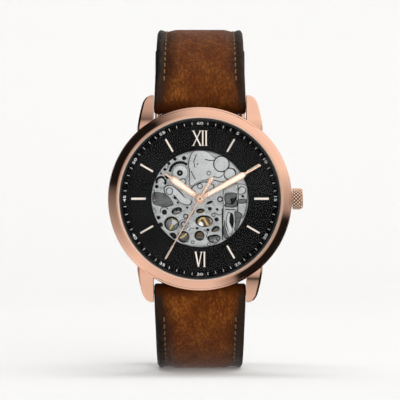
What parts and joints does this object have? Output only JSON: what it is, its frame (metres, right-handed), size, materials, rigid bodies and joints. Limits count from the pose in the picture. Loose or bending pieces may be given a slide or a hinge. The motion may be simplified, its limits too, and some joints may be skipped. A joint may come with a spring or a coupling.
{
  "type": "skeleton wristwatch",
  "caption": "Round automatic wristwatch with an open dial over its movement, three centre hands, a knurled crown and a leather strap with a pin buckle.",
  "frame": {"origin": "centre of the case back glass's outer face, where the watch rests on the wrist", "axes": "+Y out of the case back towards the wrist, +Z to 12 o'clock, +X to 3 o'clock and the crown; the dial faces -Y"},
  "size_m": [0.0469, 0.0743, 0.0837],
  "materials": {
    "rose_gold": "polished",
    "applied_rose_gold": "polished",
    "dial_black": "matte",
    "chapter_black": "satin",
    "crystal_glass": "polished",
    "gasket_rubber": "matte",
    "steel": "satin",
    "nickel_plate": "satin",
    "gilt_brass": "gloss",
    "leather": "satin",
    "holder_plastic": "matte"
  },
  "bodies": {
    "case": {"case_middle": "rose_gold", "bezel": "rose_gold", "crystal": "crystal_glass", "crystal_gasket": "gasket_rubber", "chapter_ring": "chapter_black", "dial": "dial_black", "hour_marker_01": "applied_rose_gold", "hour_marker_02": "applied_rose_gold", "hour_marker_03": "applied_rose_gold", "hour_marker_04": "applied_rose_gold", "hour_marker_05": "applied_rose_gold", "hour_marker_07": "applied_rose_gold", "hour_marker_08": "applied_rose_gold", "hour_marker_09": "applied_rose_gold", "hour_marker_10": "applied_rose_gold", "hour_marker_11": "applied_rose_gold", "numeral_12_x": "applied_rose_gold", "numeral_12_i_left": "applied_rose_gold", "numeral_12_i_right": "applied_rose_gold", "numeral_6_v": "applied_rose_gold", "numeral_6_i": "applied_rose_gold", "movement_holder": "holder_plastic", "case_back": "steel", "case_back_glass": "crystal_glass", "case_back_gasket": "gasket_rubber", "crown_tube": "steel", "spring_bar_12": "steel", "spring_bar_6": "steel", "main_plate": "nickel_plate", "barrel_bridge": "nickel_plate", "keyless_cover": "nickel_plate", "train_bridge": "nickel_plate", "balance_cock": "nickel_plate", "ratchet_wheel": "steel", "rotor_post": "steel"},
    "minute_hand": {"minute_hand": "applied_rose_gold", "cannon_pinion": "steel"},
    "hour_hand": {"hour_hand": "applied_rose_gold", "hour_wheel": "nickel_plate"},
    "minute_wheel": {"minute_wheel": "nickel_plate"},
    "seconds_hand": {"seconds_hand": "applied_rose_gold", "fourth_wheel": "gilt_brass"},
    "escape_wheel": {"escape_wheel": "steel"},
    "third_wheel": {"third_wheel": "gilt_brass"},
    "centre_wheel": {"centre_wheel": "gilt_brass"},
    "mainspring_barrel": {"mainspring_barrel": "gilt_brass"},
    "balance_wheel": {"balance_wheel": "gilt_brass", "hairspring": "steel"},
    "pallet_fork": {"pallet_fork": "steel"},
    "rotor": {"rotor": "steel"},
    "crown_seal": {"crown_gasket": "gasket_rubber"},
    "crown": {"crown": "rose_gold", "winding_stem": "steel"},
    "strap_12": {"strap_12": "leather", "fixed_keeper": "leather"},
    "strap_6": {"strap_6": "leather"},
    "loose_keeper": {"loose_keeper": "leather"},
    "buckle": {"buckle_frame": "rose_gold", "buckle_bar": "steel"},
    "buckle_tongue": {"buckle_tongue": "rose_gold"}
  },
  "joints": [
    {"name": "minute_hand_turn", "type": "hinge", "parent": "case", "child": "minute_hand", "pos_m": [0, -0.005, 0], "axis": [0, 1, 0], "continuous": true},
    {"name": "hour_hand_turn", "type": "hinge", "parent": "case", "child": "hour_hand", "pos_m": [0, -0.005, 0], "axis": [0, 1, 0], "continuous": true},
    {"name": "minute_wheel_turn", "type": "hinge", "parent": "case", "child": "minute_wheel", "pos_m": [0.00197, -0.005, 0.00138], "axis": [0, 1, 0], "continuous": true},
    {"name": "seconds_hand_turn", "type": "hinge", "parent": "case", "child": "seconds_hand", "pos_m": [0, -0.005, 0], "axis": [0, 1, 0], "continuous": true},
    {"name": "escape_wheel_turn", "type": "hinge", "parent": "case", "child": "escape_wheel", "pos_m": [-0.00381, -0.005, -0.00067], "axis": [0, 1, 0], "continuous": true},
    {"name": "third_wheel_turn", "type": "hinge", "parent": "case", "child": "third_wheel", "pos_m": [0.00056, -0.005, -0.00401], "axis": [0, 1, 0], "continuous": true},
    {"name": "centre_wheel_turn", "type": "hinge", "parent": "case", "child": "centre_wheel", "pos_m": [0, -0.005, 0], "axis": [0, 1, 0], "continuous": true},
    {"name": "barrel_turn", "type": "hinge", "parent": "case", "child": "mainspring_barrel", "pos_m": [-0.00361, -0.005, 0.00516], "axis": [0, 1, 0], "continuous": true},
    {"name": "balance_swing", "type": "hinge", "parent": "case", "child": "balance_wheel", "pos_m": [-0.0062, -0.005, -0.0056], "axis": [0, 1, 0], "range_deg": [-135, 135], "stiffness_Nm_per_rad": 0.0000005},
    {"name": "pallet_fork_rock", "type": "hinge", "parent": "case", "child": "pallet_fork", "pos_m": [-0.00498, -0.005, -0.00309], "axis": [0, 1, 0], "range_deg": [-6.5, 6.5]},
    {"name": "rotor_turn", "type": "hinge", "parent": "case", "child": "rotor", "pos_m": [0, -0.005, 0], "axis": [0, 1, 0], "continuous": true},
    {"name": "crown_pull", "type": "slide", "parent": "case", "child": "crown_seal", "axis": [1, 0, 0], "range_m": [0, 0.001]},
    {"name": "crown_turn", "type": "hinge", "parent": "crown_seal", "child": "crown", "pos_m": [0.0235, -0.0056, 0], "axis": [1, 0, 0], "continuous": true},
    {"name": "strap_12_swing", "type": "hinge", "parent": "case", "child": "strap_12", "pos_m": [0, -0.0032, 0.0224], "axis": [1, 0, 0], "range_deg": [0, 60]},
    {"name": "strap_6_swing", "type": "hinge", "parent": "case", "child": "strap_6", "pos_m": [0, -0.0032, -0.0224], "axis": [-1, 0, 0], "range_deg": [0, 60]},
    {"name": "loose_keeper_slide", "type": "hinge", "parent": "strap_12", "child": "loose_keeper", "pos_m": [0, 0.02685, 0.0065], "axis": [1, 0, 0], "range_deg": [-7, 25]},
    {"name": "buckle_swing", "type": "hinge", "parent": "strap_12", "child": "buckle", "pos_m": [0, 0.05748, 0.02126], "axis": [1, 0, 0], "range_deg": [-50, 60]},
    {"name": "buckle_tongue_swing", "type": "hinge", "parent": "buckle", "child": "buckle_tongue", "pos_m": [0, 0.05748, 0.02126], "axis": [1, 0, 0], "range_deg": [0, 70]}
  ],
  "couplings": [
    {"joint": "hour_hand_turn", "follows": "minute_hand_turn", "ratio": 0.083333},
    {"joint": "minute_wheel_turn", "follows": "minute_hand_turn", "ratio": -0.33333},
    {"joint": "escape_wheel_turn", "follows": "seconds_hand_turn", "ratio": -12},
    {"joint": "third_wheel_turn", "follows": "seconds_hand_turn", "ratio": -0.13333},
    {"joint": "centre_wheel_turn", "follows": "seconds_hand_turn", "ratio": 0.016667},
    {"joint": "barrel_turn", "follows": "seconds_hand_turn", "ratio": -0.0027778},
    {"joint": "pallet_fork_rock", "follows": "balance_swing", "ratio": 0.044444}
  ]
}
